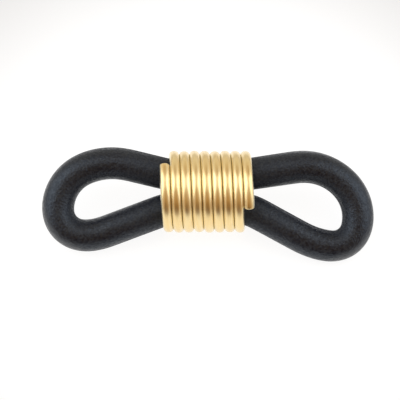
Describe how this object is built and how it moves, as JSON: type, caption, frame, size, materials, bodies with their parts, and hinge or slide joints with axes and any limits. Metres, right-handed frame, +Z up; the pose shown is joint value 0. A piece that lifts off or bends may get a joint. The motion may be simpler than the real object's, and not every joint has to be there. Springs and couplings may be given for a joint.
{
  "type": "spectacle cord end connector",
  "caption": "Soft rubber ring pinched into a figure of eight by a close-wound wire coil that slides, with a loop for a spectacle temple and a loop for a cord.",
  "frame": {"origin": "on the table it lies on, under the middle of the connector's outline", "axes": "+X along the coil's axis from the shorter loop to the longer one, +Y across the loops towards the edge that is raised off the table, +Z up. It is stored as it comes to rest: rolled 27.1 degrees about X, on the coil and the lower edge of the longer loop, so the loops' plane leans towards -Y"},
  "size_m": [0.021, 0.0066, 0.0051],
  "materials": {
    "black_rubber": "matte moulded rubber, charcoal black",
    "gold_wire": "bright pale-gold plated wire"
  },
  "bodies": {
    "ring": {"rubber_ring": "black_rubber"},
    "coil": {"wire_coil": "gold_wire"}
  },
  "joints": [
    {"name": "coil_slide", "type": "slide", "parent": "ring", "child": "coil", "axis": [1, 0, 0], "range_m": [-0.002, 0.002], "deforming": ["rubber_ring"]}
  ]
}
